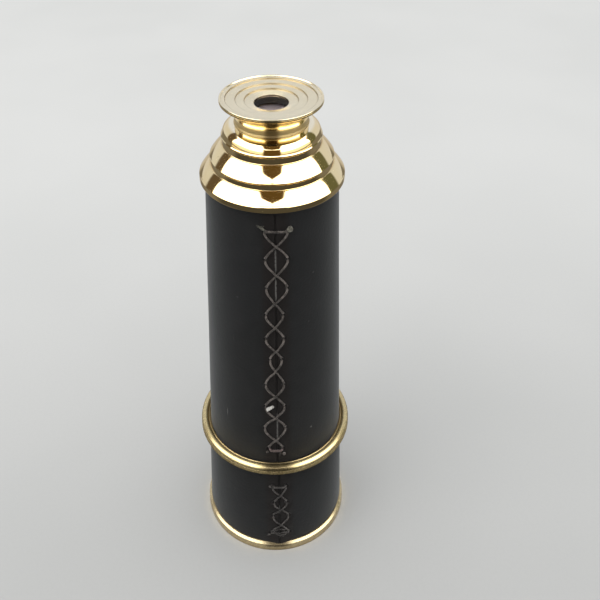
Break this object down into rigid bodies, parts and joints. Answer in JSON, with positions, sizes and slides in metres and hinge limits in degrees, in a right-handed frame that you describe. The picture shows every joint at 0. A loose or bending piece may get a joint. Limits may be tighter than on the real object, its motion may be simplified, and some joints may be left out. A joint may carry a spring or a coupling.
{
  "type": "kaleidoscope",
  "caption": "Hand-held kaleidoscope: laced leather barrel with mirrors inside, stepped brass cap with dished eyepiece, and a turning drum of loose glass.",
  "frame": {"origin": "centre of the base ring's flat underside, on the barrel's axis", "axes": "+Z along the barrel's axis from the drum's frosted window to the eye hole; -Y is the side with the laced leather seams"},
  "size_m": [0.0516, 0.0516, 0.1519],
  "materials": {
    "polished_brass": "polished and lacquered",
    "satin_brass": "satin, with fine turning lines",
    "tube_brass": "drawn tube, unpolished",
    "bush_brass": "turned, greased",
    "black_leather": "smooth, satin, lightly scuffed",
    "taupe_cord": "waxed twisted cord",
    "clear_glass": "polished",
    "frosted_glass": "ground matt on both faces",
    "mirror_silver": "first-surface silvered",
    "blackened_metal": "matt black",
    "black_foam": "felted packing",
    "ruby_glass": "fire polished",
    "cobalt_glass": "fire polished",
    "emerald_glass": "fire polished",
    "amber_glass": "fire polished",
    "violet_glass": "fire polished",
    "aqua_glass": "fire polished",
    "rose_glass": "fire polished",
    "crystal_glass": "fire polished"
  },
  "bodies": {
    "barrel": {"eyepiece": "satin_brass", "eye_lens": "clear_glass", "eye_lens_ring": "blackened_metal", "stepped_cap": "polished_brass", "barrel_tube": "tube_brass", "barrel_leather": "black_leather", "barrel_lacing": "taupe_cord", "mirror_1": "mirror_silver", "mirror_2": "mirror_silver", "mirror_3": "mirror_silver", "mirror_packing_1": "black_foam", "mirror_packing_2": "black_foam", "mirror_packing_3": "black_foam", "mirror_mask_eye": "blackened_metal", "mirror_mask_front": "blackened_metal", "bearing_hub": "tube_brass", "hub_retaining_ring": "tube_brass"},
    "drum": {"collar_ring": "polished_brass", "drum_tube": "tube_brass", "drum_leather": "black_leather", "drum_lacing": "taupe_cord", "drum_bush": "bush_brass", "cell_lock_ring": "blackened_metal", "cell_window": "clear_glass", "cell_spacer": "blackened_metal", "frosted_window": "frosted_glass", "base_ring": "polished_brass"},
    "beads_outer": {"bead_outer_1_round": "ruby_glass", "bead_outer_2_chip": "cobalt_glass", "bead_outer_3_bugle": "amber_glass", "bead_outer_4_cut": "emerald_glass", "bead_outer_5_block": "violet_glass", "bead_outer_6_round": "aqua_glass"},
    "beads_middle": {"bead_middle_1_cut": "rose_glass", "bead_middle_2_bugle": "cobalt_glass", "bead_middle_3_chip": "emerald_glass", "bead_middle_4_round": "amber_glass", "bead_middle_5_block": "crystal_glass"},
    "beads_inner": {"bead_inner_1_round": "violet_glass", "bead_inner_2_chip": "ruby_glass"}
  },
  "joints": [
    {"name": "drum_turn", "type": "hinge", "parent": "barrel", "child": "drum", "pos_m": [0, 0, 0.027], "axis": [0, 0, 1], "continuous": true},
    {"name": "beads_outer_tumble", "type": "hinge", "parent": "drum", "child": "beads_outer", "pos_m": [0, 0, 0.0085], "axis": [0, 0, 1], "continuous": true},
    {"name": "beads_middle_tumble", "type": "hinge", "parent": "drum", "child": "beads_middle", "pos_m": [0, 0, 0.0085], "axis": [0, 0, 1], "continuous": true},
    {"name": "beads_inner_tumble", "type": "hinge", "parent": "drum", "child": "beads_inner", "pos_m": [0, 0, 0.0085], "axis": [0, 0, 1], "continuous": true}
  ]
}
